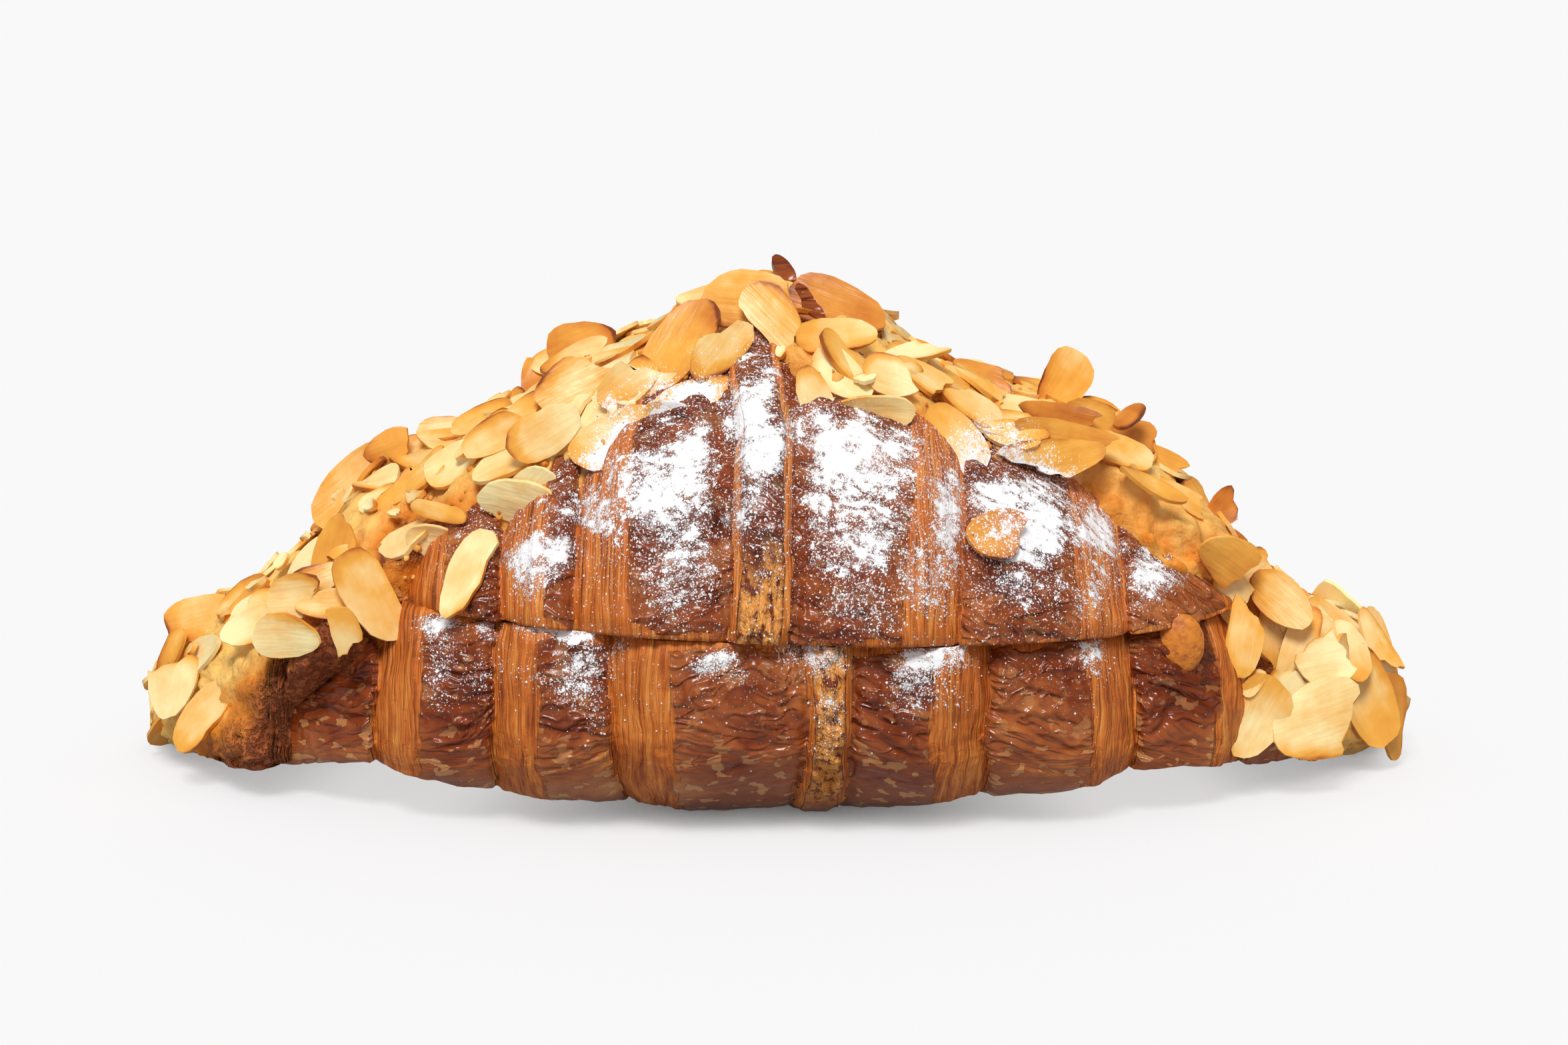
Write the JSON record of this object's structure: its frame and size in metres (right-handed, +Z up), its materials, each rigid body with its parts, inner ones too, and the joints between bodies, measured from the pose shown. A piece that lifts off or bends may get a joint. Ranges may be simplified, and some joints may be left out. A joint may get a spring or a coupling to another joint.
{
  "type": "almond croissant",
  "caption": "Baked almond croissant, slit level and filled, with browned flaky layers, almond cream and flaked almonds on its crest and tips.",
  "frame": {"origin": "on the surface the croissant lies on, under the middle of its box", "axes": "+X along the croissant's length, -Y its front, +Y the side its tips bend to, +Z up"},
  "size_m": [0.1806, 0.0912, 0.0732],
  "materials": {
    "crust": "browned, flaky pastry crust with a soft gloss",
    "filling": "moist caramel-coloured almond filling",
    "topping": "toasted almond cream with flaked almonds and icing sugar"
  },
  "bodies": {
    "root": {"bottom_half": "crust", "top_half": "crust", "almond_filling": "filling", "almond_topping": "topping"}
  },
  "joints": []
}
